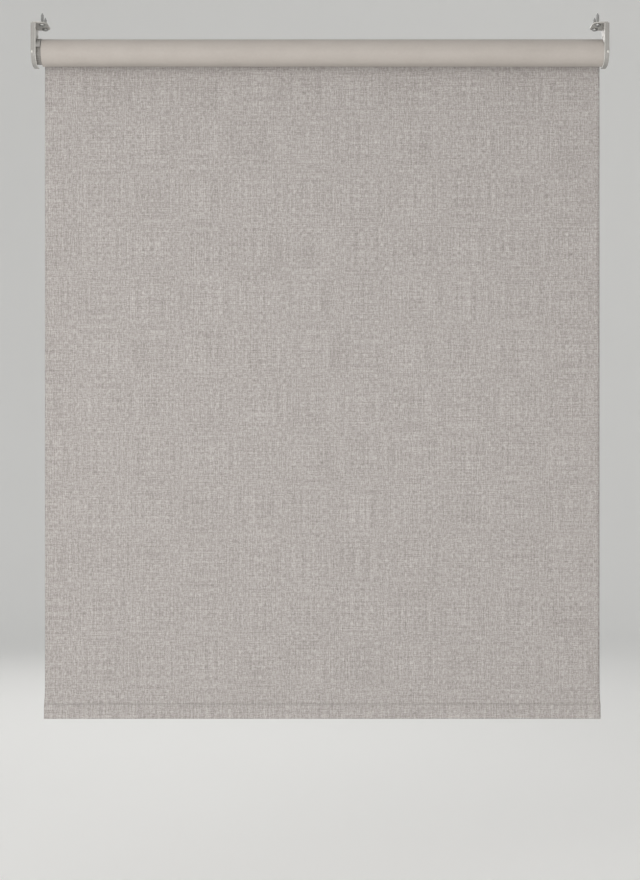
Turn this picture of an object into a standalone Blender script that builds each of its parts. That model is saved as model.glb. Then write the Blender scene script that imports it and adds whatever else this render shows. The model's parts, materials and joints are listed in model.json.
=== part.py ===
"""Cordless roller blind with a spring unit, fixed to the head of a window recess.

Frame: +X is to the right as seen from the room, +Y points to the window, +Z is up. The origin is on the
plane of the bracket tops, midway between the brackets and straight above the roller's axis. Metres.
"""
import math

import bmesh
import bpy
from mathutils import Matrix

# ---------------------------------------------------------------- driving sizes
CLEARANCE = 0.0003          # gap between pieces that touch
FREE_GAP = 0.0006           # gap beside a face that turns past another

FABRIC_WIDTH = 0.760
LEFT_GAP = 0.0131           # fabric's edge to the left cover's outer face, for the tension dial
RIGHT_GAP = 0.0069          # fabric's edge to the right cover's outer face
DROP = 0.9465               # bracket tops to the bottom of the hem
AXIS_DROP = 0.0385          # bracket tops to the roller's axis
FABRIC_THICKNESS = 0.0005

# brackets and covers
COVER_OVERHANG = 0.0006     # cover beyond the wound fabric, in front and below
WINDOW_SIDE_REACH = 0.008   # cover's window side beyond its front's distance from the axis
PLATE_THICKNESS = 0.0015
FLANGE_REACH = 0.0208       # from the cover's outer face to the flange's end
FLANGE_CORNER_R = 0.010
COVER_SKIN = 0.0010
COVER_RIM_WALL = 0.0015
COVER_DEPTH = 0.006
COVER_EDGE_R = 0.0007
HOOD_START = math.radians(14)       # hood's lower edge, above the axis on the room side
HOOD_END = math.radians(105)        # its other edge, past the top
HOOD_WEB = 0.0012                   # web that joins the hood to the cover's front wall
INSERT_INSET = 0.0045       # disc of the socket and of the bush, inside the cover's rounding
INSERT_THICKNESS = 0.002
INSERT_BOSS_R = 0.0067      # boss that seats in the plate's hole
SIDE_HOLE_R = 0.0024
SIDE_HOLE_DROP = 0.0125
SIDE_HOLE_Y = (-0.007, 0.015)

# fixing screws
SCREW_INSET = 0.014         # from the cover's outer face
SCREW_Y = (-0.008, 0.016)
SCREW_CORE_R = 0.00155
SCREW_THREAD_R = 0.0021
SCREW_LENGTH = 0.016
SCREW_PITCH = 0.0018
SCREW_TIP = 0.003
SCREW_HEAD_R = 0.0041
SCREW_HEAD_FLAT_R = 0.0026
SCREW_HEAD_HEIGHT = 0.0024
SCREW_SLOT_WIDTH = 0.0010
SCREW_SLOT_LENGTH = 0.0046
SCREW_SLOT_DEPTH = 0.0012

# roller
TUBE_R = 0.016
TUBE_WALL = 0.0016
WOUND_THICKNESS = 0.0021    # all wraps of the fabric together
KEY_COUNT = 3
KEY_WIDTH = 0.0016
KEY_HEIGHT = 0.0015
TAPE_WIDTH = 0.012
TAPE_THICKNESS = 0.0005
PLUG_FLANGE_STEP = 0.0002   # plug flange below the tube's outside
PLUG_FLANGE_THICKNESS = 0.0015
PLUG_PROUD = 0.0002         # plug flange beyond the fabric's edge
PLUG_LENGTH = 0.024

# spring unit
TONGUE_WIDTH = 0.009        # flat tongue that the socket holds
TONGUE_THICKNESS = 0.0045
TANG_DISC_THICKNESS = 0.0016
RATCHET_TEETH = 20
RATCHET_DEPTH = 0.0010
PAWL_THICKNESS = 0.0013
PAWL_WIDTH = 0.0012
PAWL_SPAN = math.radians(95)
DIAL_STEP = 0.0005          # dial below the tube's outside
DIAL_WALL = 0.0016
DIAL_RIBS = 30
DIAL_RIB_HEIGHT = 0.0006
SHAFT_R = 0.004
SHAFT_SQUARE_SHARE = 1.35   # across flats for each unit of SHAFT_R, where the dial is keyed on
PILOT_R = 0.0016
PILOT_LENGTH = 0.0034
BRAKE_ROOM = 0.0029         # from the tube's keys in to the brake's drum
BRAKE_HUB_LENGTH = 0.014
BRAKE_WIRE_R = 0.0006
BRAKE_TURNS = 7
ANCHOR_GAP = 0.0004         # from the tube's keys in to the anchor's flange
ANCHOR_FLANGE_THICKNESS = 0.004
NOSE_WALL = 0.0017          # nose of the anchor and of the drive plug, inside the spring
NOSE_LENGTH = 0.012
SPRING_WIRE_R = 0.0008
SPRING_TURNS = 20
SPRING_LENGTH = 0.150
DRIVE_PLUG_LENGTH = 0.018
CLIP_THICKNESS = 0.0010
CLIP_RIM = 0.0030           # radial width of a retaining clip
CLIP_SEAT = 0.0009          # depth of the groove that a clip sits in
CLIP_MOUTH = math.radians(70)
SHAFT_TAIL = 0.002          # shaft beyond the clip's groove

# idle end
PIN_R = 0.003
PIN_CHAMFER = 0.0009
PIN_SHOULDER_STEP = 0.002
PIN_SHOULDER_LENGTH = 0.0025
PIN_TAIL_R = 0.0019
PIN_TRAVEL = 0.005
PIN_GUIDE_LENGTH = 0.0045
PIN_SPRING_WIRE_R = 0.00035
PIN_SPRING_TURNS = 6
PIN_SPRING_SOLID = 0.0085   # length of the spring when the pin is pressed in
PIN_TAIL_END = 0.0015       # tail beyond the clip's groove
PIN_CLIP_THICKNESS = 0.0007
PIN_CLIP_RIM = 0.0018
PIN_CLIP_SEAT = 0.0006
PIN_REAR_WALL = 0.003

# bottom bar and hem
HEM_HEIGHT = 0.020
HEM_FLARE = 0.0012          # hem pocket beyond the sheet's edge, each side
HEM_SLACK = 0.003           # pocket height that the bar and the weld leave over
BAR_THICKNESS = 0.003
BAR_WALL = 0.0006
CAP_HEAD = 0.003
CAP_PEG = 0.010

# ---------------------------------------------------------------- derived places
HALF_WIDTH = (FABRIC_WIDTH + LEFT_GAP + RIGHT_GAP) / 2
FABRIC_OFFSET_X = (LEFT_GAP - RIGHT_GAP) / 2            # the fabric sits off centre
PLATE_OUT = HALF_WIDTH - COVER_SKIN - CLEARANCE
PLATE_IN = PLATE_OUT - PLATE_THICKNESS
INSERT_OUT = PLATE_IN - CLEARANCE
INSERT_IN = INSERT_OUT - INSERT_THICKNESS
PLATE_INSET = COVER_RIM_WALL + CLEARANCE
PLATE_HOLE_R = INSERT_BOSS_R + CLEARANCE
SCREW_HOLE_R = SCREW_THREAD_R + CLEARANCE
WOUND_BORE_R = TUBE_R + CLEARANCE
ROLL_R = WOUND_BORE_R + WOUND_THICKNESS
BRACKET_CORNER_R = ROLL_R + COVER_OVERHANG              # rounding of the cover's lower corners
BRACKET_FRONT = -BRACKET_CORNER_R                       # Y of the cover's room side
BRACKET_BACK = BRACKET_CORNER_R + WINDOW_SIDE_REACH     # Y of the cover's window side
BRACKET_HEIGHT = AXIS_DROP + BRACKET_CORNER_R
INSERT_R = BRACKET_CORNER_R - INSERT_INSET
FABRIC_LEFT = FABRIC_OFFSET_X - FABRIC_WIDTH / 2
FABRIC_RIGHT = FABRIC_OFFSET_X + FABRIC_WIDTH / 2
PLUG_LEFT = FABRIC_LEFT - PLUG_PROUD
PLUG_RIGHT = FABRIC_RIGHT + PLUG_PROUD
TUBE_LEFT = PLUG_LEFT + PLUG_FLANGE_THICKNESS + CLEARANCE
TUBE_RIGHT = PLUG_RIGHT - PLUG_FLANGE_THICKNESS - CLEARANCE
TUBE_BORE_R = TUBE_R - TUBE_WALL
KEY_TIP_R = TUBE_BORE_R - KEY_HEIGHT
PLUG_BODY_R = TUBE_BORE_R - CLEARANCE
PLUG_FLANGE_R = TUBE_R - PLUG_FLANGE_STEP
DIAL_R = TUBE_R - DIAL_STEP
TAPE_GROOVE = TAPE_THICKNESS + CLEARANCE
SHAFT_BORE_R = SHAFT_R + CLEARANCE
SHAFT_SQUARE = SHAFT_SQUARE_SHARE * SHAFT_R
NOSE_R = SHAFT_BORE_R + NOSE_WALL
BRAKE_HUB_R = KEY_TIP_R - BRAKE_ROOM
ANCHOR_FLANGE_R = KEY_TIP_R - ANCHOR_GAP
PIN_SHOULDER_R = PIN_R + PIN_SHOULDER_STEP

TANG_OUT = -INSERT_IN + CLEARANCE                       # tang disc's face towards the bracket
TANG_IN = TANG_OUT + TANG_DISC_THICKNESS
DIAL_RECESS_FLOOR = TANG_IN + CLEARANCE
DIAL_IN = PLUG_LEFT - CLEARANCE
DIAL_RECESS_R = DIAL_R - DIAL_RIB_HEIGHT - DIAL_WALL
PAWL_OUTER_R = DIAL_RECESS_R - CLEARANCE
RATCHET_R = PAWL_OUTER_R - PAWL_THICKNESS - CLEARANCE
BRAKE_LEFT = PLUG_LEFT + PLUG_LENGTH + CLEARANCE
ANCHOR_LEFT = BRAKE_LEFT + BRAKE_HUB_LENGTH + CLEARANCE
ANCHOR_FACE = ANCHOR_LEFT + ANCHOR_FLANGE_THICKNESS
DRIVE_FACE = ANCHOR_FACE + SPRING_LENGTH
DRIVE_END = DRIVE_FACE + DRIVE_PLUG_LENGTH
SHAFT_CLIP_LEFT = DRIVE_END + FREE_GAP
SHAFT_END = SHAFT_CLIP_LEFT + CLIP_THICKNESS + CLEARANCE + SHAFT_TAIL

PIN_TIP = PLATE_OUT - CLEARANCE
GUIDE_LEFT = PLUG_RIGHT - PIN_GUIDE_LENGTH
SHOULDER_RIGHT = GUIDE_LEFT - CLEARANCE
SHOULDER_LEFT = SHOULDER_RIGHT - PIN_SHOULDER_LENGTH
CHAMBER_LEFT = SHOULDER_LEFT - 2 * CLEARANCE - PIN_TRAVEL - PIN_SPRING_SOLID
CHAMBER_R = PIN_SHOULDER_R + CLEARANCE
IDLE_PLUG_LEFT = CHAMBER_LEFT - PIN_REAR_WALL
PIN_CLIP_RIGHT = IDLE_PLUG_LEFT - CLEARANCE
PIN_END = PIN_CLIP_RIGHT - PIN_CLIP_THICKNESS - CLEARANCE - PIN_TAIL_END

SHEET_Y = ROLL_R + CLEARANCE                            # sheet's room side, at the back of the roll
HEM_Y = SHEET_Y + FABRIC_THICKNESS / 2
HEM_BOTTOM = -DROP
HEM_TOP = HEM_BOTTOM + HEM_HEIGHT
BAR_HEIGHT = HEM_HEIGHT - 2 * (FABRIC_THICKNESS + CLEARANCE) - HEM_SLACK
HEM_THICKNESS = BAR_THICKNESS + 2 * (FABRIC_THICKNESS + CLEARANCE)
HEM_HALF_LENGTH = FABRIC_WIDTH / 2 + HEM_FLARE
BAR_HALF_LENGTH = HEM_HALF_LENGTH - CLEARANCE - CAP_HEAD - CLEARANCE

ROUND_STEPS = 48            # facets of a large round piece
SMALL_STEPS = 24            # facets of a small one
SCREW_STEPS = 12            # facets of a fixing screw
COIL_STEPS = 12             # points in one turn of a coil
SMOOTH_ANGLE = math.radians(35)


# ---------------------------------------------------------------- materials
def material(name, color, roughness, metallic=0.0):
    """Return a Principled BSDF material, made once."""
    found = bpy.data.materials.get(name)
    if found:
        return found
    made = bpy.data.materials.new(name)
    made.use_nodes = True
    shader = made.node_tree.nodes["Principled BSDF"]
    shader.inputs["Base Color"].default_value = (*color, 1.0)
    shader.inputs["Roughness"].default_value = roughness
    shader.inputs["Metallic"].default_value = metallic
    made.diffuse_color = (*color, 1.0)
    return made


def painted_steel():
    return material("painted_steel", (0.48, 0.47, 0.45), 0.45)


def cover_plastic():
    return material("cover_plastic", (0.42, 0.41, 0.39), 0.50)


def grey_plastic():
    return material("grey_plastic", (0.24, 0.23, 0.21), 0.55)


def white_nylon():
    return material("white_nylon", (0.72, 0.71, 0.68), 0.55)


def zinc_steel():
    return material("zinc_steel", (0.55, 0.55, 0.54), 0.35, 0.9)


def spring_steel():
    return material("spring_steel", (0.40, 0.40, 0.41), 0.35, 1.0)


def tube_aluminium():
    return material("tube_aluminium", (0.75, 0.75, 0.76), 0.38, 1.0)


def clear_tape():
    return material("fixing_tape", (0.70, 0.66, 0.55), 0.60)


def fabric_reverse():
    return material("fabric_reverse", (0.48, 0.43, 0.38), 0.80)


def fabric_face():
    return material("fabric_face", (0.45, 0.41, 0.39), 0.95)


# ---------------------------------------------------------------- mesh helpers
def empty(name, location, parent=None):
    """Add an empty that stands for a body, on its joint's axis."""
    made = bpy.data.objects.new(name, None)
    made.empty_display_size = 0.02
    made.parent = parent
    made.location = location
    bpy.context.scene.collection.objects.link(made)
    return made


def to_object(name, shape, finish, parent, location=(0, 0, 0)):
    """Turn a bmesh into a named, smooth-shaded object."""
    bmesh.ops.recalc_face_normals(shape, faces=shape.faces)
    mesh = bpy.data.meshes.new(name)
    shape.to_mesh(mesh)
    shape.free()
    mesh.shade_smooth()
    mesh.set_sharp_from_angle(angle=SMOOTH_ANGLE)
    mesh.materials.append(finish)
    made = bpy.data.objects.new(name, mesh)
    made.parent = parent
    made.location = location
    bpy.context.scene.collection.objects.link(made)
    return made


def mirror(shape, side):
    """Flip a shape that is modelled at +X to the side asked for."""
    if side < 0:
        for vert in shape.verts:
            vert.co.x = -vert.co.x
    return shape


def prism(outline, low, high, axis="X"):
    """Extrude an outline along an axis. Its points are the two other coordinates, in X, Y, Z order."""
    shape = bmesh.new()
    verts = []
    for first, second in outline:
        place = {"X": (low, first, second), "Y": (first, low, second), "Z": (first, second, low)}[axis]
        verts.append(shape.verts.new(place))
    cap = shape.faces.new(verts)
    grown = bmesh.ops.extrude_face_region(shape, geom=[cap])["geom"]
    step = {"X": (high - low, 0, 0), "Y": (0, high - low, 0), "Z": (0, 0, high - low)}[axis]
    moved = [item for item in grown if isinstance(item, bmesh.types.BMVert)]
    bmesh.ops.translate(shape, vec=step, verts=moved)
    return shape


def turned(profile, steps=ROUND_STEPS, closed=False):
    """Spin a profile of (x, radius) points about the X axis. A closed profile makes a piece with a bore."""
    shape = bmesh.new()
    verts = [shape.verts.new((x, 0, radius)) for x, radius in profile]
    edges = [shape.edges.new(pair) for pair in zip(verts, verts[1:])]
    if closed:
        edges.append(shape.edges.new((verts[-1], verts[0])))
    bmesh.ops.spin(shape, geom=verts + edges, cent=(0, 0, 0), axis=(1, 0, 0),
                   angle=math.tau, steps=steps, use_merge=True)
    bmesh.ops.remove_doubles(shape, verts=shape.verts, dist=1e-6)
    return shape


def rod(radius, low, high, steps=SMALL_STEPS):
    """A plain round bar along X."""
    return turned([(low, 0), (low, radius), (high, radius), (high, 0)], steps)


def sleeve(outer, bore, low, high, steps=SMALL_STEPS):
    """A round piece along X with a bore right through."""
    return turned([(low, bore), (low, outer), (high, outer), (high, bore)], steps, closed=True)


def block(low, high):
    """A box between two corners."""
    outline = [(low[1], low[2]), (high[1], low[2]), (high[1], high[2]), (low[1], high[2])]
    return prism(outline, low[0], high[0])


def arc(radius, start, end, steps):
    """Points of an arc about the origin, ends included."""
    angles = [start + (end - start) * i / steps for i in range(steps + 1)]
    return [(radius * math.cos(angle), radius * math.sin(angle)) for angle in angles]


def circle(radius, steps=ROUND_STEPS):
    """Points of a whole circle."""
    return arc(radius, 0, math.tau, steps)[:-1]


def keyed_circle(radius, key_radius, key_width, count, steps=ROUND_STEPS):
    """A circle whose radius changes to key_radius over count evenly spaced keys."""
    half = key_width / 2 / radius
    pitch = math.tau / count
    outline = []
    for i in range(count):
        centre = math.pi / 2 + i * pitch
        outline += arc(key_radius, centre - half, centre + half, max(2, round(steps * half / math.pi)))
        outline += arc(radius, centre + half, centre + pitch - half, steps // count)
    return outline


def band(inner, outer, start, end, steps):
    """Outline of a flat ring's sector."""
    return arc(outer, start, end, steps) + arc(inner, end, start, steps)


def u_outline(inset, top):
    """Side view of a bracket as (y, z): square at the top, rounded at its lower corners."""
    radius = BRACKET_CORNER_R - inset
    centre_z = -BRACKET_HEIGHT + BRACKET_CORNER_R
    front = BRACKET_FRONT + inset
    back = BRACKET_BACK - inset
    outline = [(back, top)]
    outline += [(back - radius + y, centre_z + z) for y, z in arc(radius, 0, -math.pi / 2, 12)]
    outline += [(front + radius + y, centre_z + z) for y, z in arc(radius, -math.pi / 2, -math.pi, 12)]
    outline.append((front, top))
    return outline


def stadium(length, width, steps=8):
    """Upright slot shape as (y, z), rounded at its two ends."""
    radius = width / 2
    reach = length / 2 - radius
    outline = [(y, z + reach) for y, z in arc(radius, 0, math.pi, steps)]
    outline += [(y, z - reach) for y, z in arc(radius, math.pi, math.tau, steps)]
    return outline


def round_edges(shape, wanted, radius, steps):
    """Round the edges whose two ends both pass the test."""
    edges = [edge for edge in shape.edges if all(wanted(vert.co) for vert in edge.verts)]
    bmesh.ops.bevel(shape, geom=edges, offset=radius, segments=steps, profile=0.5, affect="EDGES")


def boolean(target, tool_shape, operation):
    """Cut a tool from a piece, or fuse it on. The tool stays in the piece's own frame, hidden."""
    tool = to_object(f"{target.name}_tool_{len(target.modifiers)}", tool_shape, target.active_material,
                     target.parent, target.location)
    tool.hide_render = True
    tool.display_type = "WIRE"
    step = target.modifiers.new(operation.lower(), "BOOLEAN")
    step.operation = operation
    step.solver = "EXACT"
    step.object = tool


def cut(target, tool_shape):
    boolean(target, tool_shape, "DIFFERENCE")


def fuse(target, tool_shape):
    boolean(target, tool_shape, "UNION")


def wire(name, points, radius, finish, parent, sides=2):
    """A closed round wire along a list of points, in the parent's frame."""
    curve = bpy.data.curves.new(name, "CURVE")
    curve.dimensions = "3D"
    curve.bevel_depth = radius
    curve.bevel_resolution = sides
    curve.use_fill_caps = True
    spline = curve.splines.new("POLY")
    spline.points.add(len(points) - 1)
    for point, place in zip(spline.points, points):
        point.co = (*place, 1.0)
    spline.use_smooth = True
    curve.materials.append(finish)
    made = bpy.data.objects.new(name, curve)
    made.parent = parent
    bpy.context.scene.collection.objects.link(made)
    return made


def coil(radius, low, high, turns):
    """Points of a helix along X. The middles of its straight facets lie at the radius."""
    count = round(turns * COIL_STEPS)
    corner = radius / math.cos(math.pi / COIL_STEPS)
    points = []
    for i in range(count + 1):
        angle = math.tau * turns * i / count
        points.append((low + (high - low) * i / count, corner * math.cos(angle), corner * math.sin(angle)))
    return points


# ---------------------------------------------------------------- brackets
def bracket(side, name, root):
    """Steel plate with a top flange, folded from one sheet."""
    flange_end = HALF_WIDTH - FLANGE_REACH
    bottom = -BRACKET_HEIGHT + PLATE_INSET
    front = BRACKET_FRONT + PLATE_INSET
    back = BRACKET_BACK - PLATE_INSET
    outline = [(flange_end, 0), (PLATE_OUT, 0), (PLATE_OUT, bottom), (PLATE_IN, bottom),
               (PLATE_IN, -PLATE_THICKNESS), (flange_end, -PLATE_THICKNESS)]
    shape = prism(outline, front, back, "Y")
    near = 1e-6
    lower_radius = BRACKET_CORNER_R - PLATE_INSET
    for y in (front, back):
        round_edges(shape, lambda co: abs(co.z - bottom) < near and abs(co.y - y) < near, lower_radius, 10)
        round_edges(shape, lambda co: abs(co.x - flange_end) < near and abs(co.y - y) < near,
                    FLANGE_CORNER_R, 8)
    made = to_object(name, mirror(shape, side), painted_steel(), root)
    hole = rod(PLATE_HOLE_R, PLATE_IN - FREE_GAP, PLATE_OUT + FREE_GAP, ROUND_STEPS)
    bmesh.ops.translate(hole, vec=(0, 0, -AXIS_DROP), verts=hole.verts)
    cut(made, mirror(hole, side))
    for y in SIDE_HOLE_Y:
        hole = rod(SIDE_HOLE_R, PLATE_IN - FREE_GAP, PLATE_OUT + FREE_GAP)
        bmesh.ops.translate(hole, vec=(0, y, -SIDE_HOLE_DROP), verts=hole.verts)
        cut(made, mirror(hole, side))
    for y in SCREW_Y:
        centre = HALF_WIDTH - SCREW_INSET
        outline = [(centre + a, y + b) for a, b in circle(SCREW_HOLE_R, SMALL_STEPS)]
        cut(made, mirror(prism(outline, -PLATE_THICKNESS - FREE_GAP, FREE_GAP, "Z"), side))
    return made


def cover_hollow_outline(top):
    """Inside of a cover's rim as (y, z). It runs on past the window side, which has no rim."""
    radius = BRACKET_CORNER_R - COVER_RIM_WALL
    front = BRACKET_FRONT + COVER_RIM_WALL
    back = BRACKET_BACK + FREE_GAP
    bottom = -BRACKET_HEIGHT + COVER_RIM_WALL
    outline = [(back, top), (back, bottom)]
    outline += [(front + radius + y, bottom + radius + z) for y, z in arc(radius, -math.pi / 2, -math.pi, 12)]
    outline.append((front, top))
    return outline


def bracket_cover(side, name, root):
    """Plastic cover slid over the plate from the room: a skin outside, a rim in front and below."""
    top = -PLATE_THICKNESS - CLEARANCE
    rim_edge = HALF_WIDTH - COVER_DEPTH
    shape = prism(u_outline(0, top), rim_edge, HALF_WIDTH)
    outer_edges = [edge for edge in shape.edges if all(vert.co.x > HALF_WIDTH - 1e-6 for vert in edge.verts)]
    bmesh.ops.bevel(shape, geom=outer_edges, offset=COVER_EDGE_R, segments=2, profile=0.5, affect="EDGES")
    made = to_object(name, mirror(shape, side), cover_plastic(), root)
    hollow = prism(cover_hollow_outline(top + FREE_GAP), rim_edge - FREE_GAP, HALF_WIDTH - COVER_SKIN)
    cut(made, mirror(hollow, side))
    return made


def hooded_cover(root):
    """Left cover, with a hood over the upper half of the tension dial and a web that carries the hood."""
    made = bracket_cover(-1, "bracket_cover_left", root)
    inner = BRACKET_CORNER_R - COVER_RIM_WALL
    middle = BRACKET_CORNER_R - COVER_RIM_WALL / 2
    buried = BRACKET_CORNER_R - COVER_RIM_WALL / 4
    start = math.pi - HOOD_START
    web_low = HALF_WIDTH - COVER_DEPTH + CLEARANCE
    web = arc(middle, start, math.pi / 2, 12)
    web += [(0, buried), (-buried, buried), (-buried, middle * math.sin(start))]
    hood = band(inner, BRACKET_CORNER_R, math.pi - HOOD_END, start, 14)
    hood_low = HALF_WIDTH - LEFT_GAP + FREE_GAP
    for outline, low, high in ((web, web_low, web_low + HOOD_WEB), (hood, hood_low, web_low + HOOD_WEB / 2)):
        shape = prism(outline, low, high)
        bmesh.ops.translate(shape, vec=(0, 0, -AXIS_DROP), verts=shape.verts)
        fuse(made, mirror(shape, -1))
    return made


def bracket_insert(side, name, finish, root):
    """Disc on the plate's inner side with a boss that seats in the plate's hole."""
    profile = [(INSERT_IN, 0), (INSERT_IN, INSERT_R), (INSERT_OUT, INSERT_R), (INSERT_OUT, INSERT_BOSS_R),
               (PLATE_OUT, INSERT_BOSS_R), (PLATE_OUT, 0)]
    return to_object(name, mirror(turned(profile), side), finish, root, (0, 0, -AXIS_DROP))


def tang_socket(root):
    """Left insert, with a flat slot that holds the spring unit's tongue."""
    made = bracket_insert(-1, "tang_socket", grey_plastic(), root)
    half_width = TONGUE_WIDTH / 2 + CLEARANCE
    half_thickness = TONGUE_THICKNESS / 2 + CLEARANCE
    low = (-HALF_WIDTH, -half_thickness, -half_width)
    high = (-INSERT_IN + FREE_GAP, half_thickness, half_width)
    cut(made, block(low, high))
    return made


def idle_bush(root):
    """Right insert, with a round bore that the idle pin turns in."""
    made = bracket_insert(1, "idle_bush", grey_plastic(), root)
    cut(made, rod(PIN_R + CLEARANCE, INSERT_IN - FREE_GAP, HALF_WIDTH, ROUND_STEPS))
    return made


def fixing_screw(name, x, y, root):
    """Cross-head wood screw, driven upwards through the flange."""
    under_head = -PLATE_THICKNESS - CLEARANCE
    head_face = under_head - SCREW_HEAD_HEIGHT
    dome = SCREW_HEAD_R - SCREW_HEAD_FLAT_R
    profile = [(head_face, 0)]
    profile += [(head_face + dome - x, SCREW_HEAD_FLAT_R + r) for x, r in arc(dome, 0, math.pi / 2, 3)]
    profile += [(under_head, SCREW_HEAD_R), (under_head, SCREW_CORE_R)]
    thread_start = CLEARANCE
    profile.append((thread_start, SCREW_CORE_R))
    tip = under_head + SCREW_LENGTH
    count = int((tip - SCREW_TIP - thread_start) / SCREW_PITCH)
    for i in range(count):
        at = thread_start + i * SCREW_PITCH
        profile += [(at + SCREW_PITCH / 2, SCREW_THREAD_R), (at + SCREW_PITCH, SCREW_CORE_R)]
    profile.append((tip, 0))
    shape = turned(profile, SCREW_STEPS)
    upright = Matrix.Rotation(-math.pi / 2, 3, "Y")
    bmesh.ops.rotate(shape, cent=(0, 0, 0), verts=shape.verts, matrix=upright)
    made = to_object(name, shape, zinc_steel(), root, (x, y, 0))
    half_long = SCREW_SLOT_LENGTH / 2
    half_wide = SCREW_SLOT_WIDTH / 2
    for reach_x, reach_y in ((half_long, half_wide), (half_wide, half_long)):
        low = (-reach_x, -reach_y, head_face - FREE_GAP)
        high = (reach_x, reach_y, head_face + SCREW_SLOT_DEPTH)
        cut(made, block(low, high))
    return made


# ---------------------------------------------------------------- roller
def keyed_plug_outline():
    """Section of a plug that slides into the tube, with slots for the tube's keys."""
    return keyed_circle(PLUG_BODY_R, KEY_TIP_R - CLEARANCE, KEY_WIDTH + 2 * CLEARANCE, KEY_COUNT)


def roller_tube(roller):
    """Aluminium tube: keys inside, and a shallow groove outside for the fabric's tape."""
    groove_width = TAPE_WIDTH + 2 * CLEARANCE
    outer = keyed_circle(TUBE_R, TUBE_R - TAPE_GROOVE, groove_width, 1)
    made = to_object("roller_tube", prism(outer, TUBE_LEFT, TUBE_RIGHT), tube_aluminium(), roller)
    bore = keyed_circle(TUBE_BORE_R, KEY_TIP_R, KEY_WIDTH, KEY_COUNT)
    cut(made, prism(bore, TUBE_LEFT - FREE_GAP, TUBE_RIGHT + FREE_GAP))
    return made


def fixing_tape(roller):
    """Strip in the tube's groove that holds the fabric's end."""
    half = TAPE_WIDTH / 2 / TUBE_R
    inner = TUBE_R - TAPE_THICKNESS
    outline = band(inner, TUBE_R, math.pi / 2 - half, math.pi / 2 + half, 6)
    return to_object("fixing_tape", prism(outline, TUBE_LEFT, TUBE_RIGHT), clear_tape(), roller)


def fabric_roll(roller):
    """The wound fabric, as one thick sleeve."""
    shape = sleeve(ROLL_R, WOUND_BORE_R, FABRIC_LEFT, FABRIC_RIGHT, ROUND_STEPS)
    return to_object("fabric_roll", shape, fabric_reverse(), roller)


def end_bearing(roller):
    """Left plug of the tube, which turns on the shaft."""
    body = prism(keyed_plug_outline(), PLUG_LEFT + PLUG_FLANGE_THICKNESS / 2, PLUG_LEFT + PLUG_LENGTH)
    made = to_object("end_bearing", body, white_nylon(), roller)
    fuse(made, rod(PLUG_FLANGE_R, PLUG_LEFT, PLUG_LEFT + PLUG_FLANGE_THICKNESS, ROUND_STEPS))
    cut(made, rod(SHAFT_BORE_R, PLUG_LEFT - FREE_GAP, PLUG_LEFT + PLUG_LENGTH + FREE_GAP))
    return made


def drive_plug(roller):
    """Plug that joins the torsion spring's turning end to the tube's keys."""
    body = prism(keyed_plug_outline(), DRIVE_FACE, DRIVE_END)
    made = to_object("spring_drive_plug", body, white_nylon(), roller)
    fuse(made, rod(NOSE_R, DRIVE_FACE - NOSE_LENGTH, DRIVE_FACE + FREE_GAP))
    cut(made, rod(SHAFT_BORE_R, DRIVE_FACE - NOSE_LENGTH - FREE_GAP, DRIVE_END + FREE_GAP))
    return made


def idle_plug(roller):
    """Right plug of the tube, hollow for the idle pin and its spring."""
    body = prism(keyed_plug_outline(), IDLE_PLUG_LEFT, PLUG_RIGHT - PLUG_FLANGE_THICKNESS / 2)
    made = to_object("idle_end_plug", body, white_nylon(), roller)
    fuse(made, rod(PLUG_FLANGE_R, PLUG_RIGHT - PLUG_FLANGE_THICKNESS, PLUG_RIGHT, ROUND_STEPS))
    cut(made, rod(CHAMBER_R, CHAMBER_LEFT, PLUG_RIGHT + FREE_GAP))
    cut(made, rod(PIN_TAIL_R + CLEARANCE, IDLE_PLUG_LEFT - FREE_GAP, CHAMBER_LEFT + FREE_GAP))
    return made


def idle_pin_guide(roller):
    """Ring pressed into the idle plug's mouth. It guides the pin and keeps its shoulder in."""
    shape = sleeve(CHAMBER_R - CLEARANCE, PIN_R + CLEARANCE, GUIDE_LEFT, PLUG_RIGHT)
    return to_object("idle_pin_guide", shape, grey_plastic(), roller)


# ---------------------------------------------------------------- spring unit
def spring_tang(root):
    """Part that the bracket holds still: tongue, ratchet disc and a pilot for the shaft."""
    teeth = []
    for i in range(RATCHET_TEETH):
        angle = math.tau * i / RATCHET_TEETH
        root_radius = RATCHET_R - RATCHET_DEPTH
        teeth.append((root_radius * math.cos(angle), root_radius * math.sin(angle)))
        teeth.append((RATCHET_R * math.cos(angle), RATCHET_R * math.sin(angle)))
    made = to_object("spring_tang", prism(teeth, TANG_OUT, TANG_IN), grey_plastic(), root, (0, 0, -AXIS_DROP))
    half_width = TONGUE_WIDTH / 2
    half_thickness = TONGUE_THICKNESS / 2
    tongue_end = -PLATE_OUT
    middle = (TANG_OUT + TANG_IN) / 2
    fuse(made, block((tongue_end, -half_thickness, -half_width), (middle, half_thickness, half_width)))
    fuse(made, rod(PILOT_R, middle, TANG_IN + PILOT_LENGTH))
    return made


def tension_dial(dial):
    """Ribbed collar, keyed on the shaft's square. Its outer side is recessed over the ratchet disc."""
    floor = DIAL_R - DIAL_RIB_HEIGHT
    ribs = []
    for i in range(DIAL_RIBS):
        for part, radius in ((0, floor), (0.45, floor), (0.55, DIAL_R), (0.9, DIAL_R)):
            angle = math.tau * (i + part) / DIAL_RIBS
            ribs.append((radius * math.cos(angle), radius * math.sin(angle)))
    made = to_object("tension_dial", prism(ribs, TANG_OUT, DIAL_IN), grey_plastic(), dial)
    cut(made, rod(DIAL_RECESS_R, TANG_OUT - FREE_GAP, DIAL_RECESS_FLOOR, ROUND_STEPS))
    half = SHAFT_SQUARE / 2 + CLEARANCE
    cut(made, block((DIAL_RECESS_FLOOR - FREE_GAP, -half, -half), (DIAL_IN + FREE_GAP, half, half)))
    return made


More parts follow.
